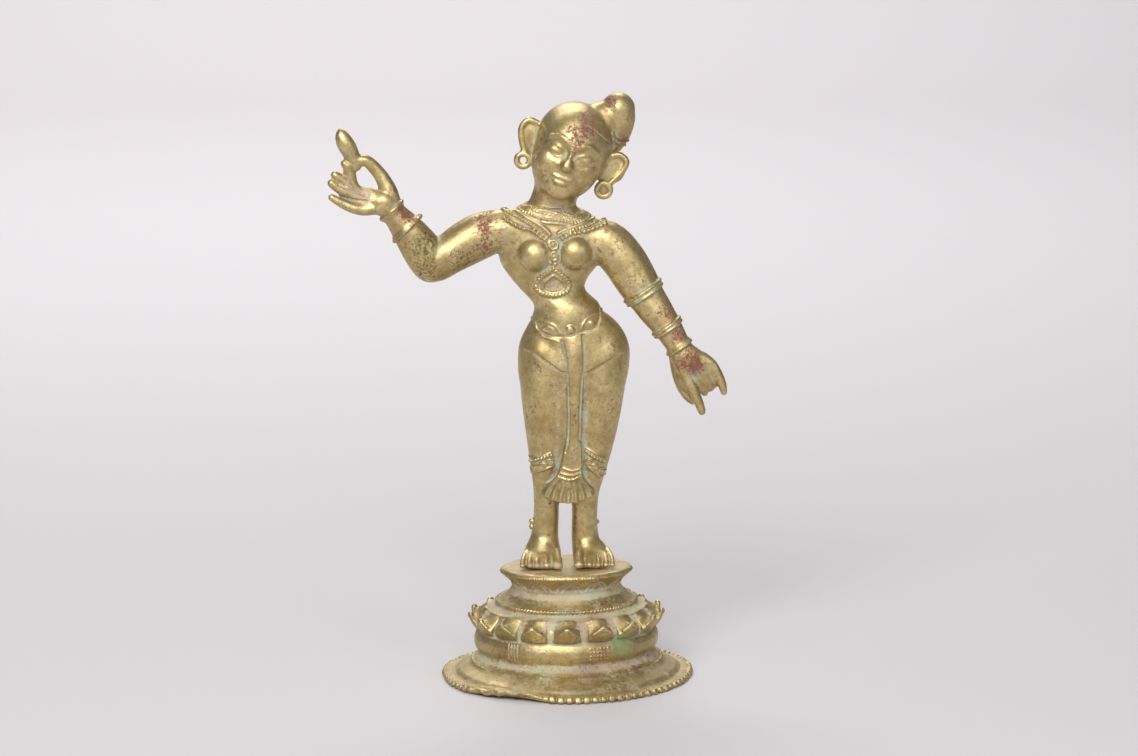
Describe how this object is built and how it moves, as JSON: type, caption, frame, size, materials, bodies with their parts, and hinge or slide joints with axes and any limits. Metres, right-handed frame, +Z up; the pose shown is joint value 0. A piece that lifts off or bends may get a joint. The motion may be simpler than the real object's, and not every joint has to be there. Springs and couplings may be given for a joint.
{
  "type": "radha statue",
  "caption": "Cast brass figure of Radha with a raised right hand holding a lotus bud, one casting with its round lotus pedestal.",
  "frame": {"origin": "centre of the pedestal's flat underside", "axes": "+Z up through the pedestal; the figure faces -Y, so +X is towards her left hand"},
  "size_m": [0.1546, 0.0969, 0.2299],
  "materials": {
    "worn_brass": "worn, hand-polished cast brass with pale green and grey deposits in the hollows and red powder stains"
  },
  "bodies": {
    "root": {"radha_statue": "worn_brass"}
  },
  "joints": []
}
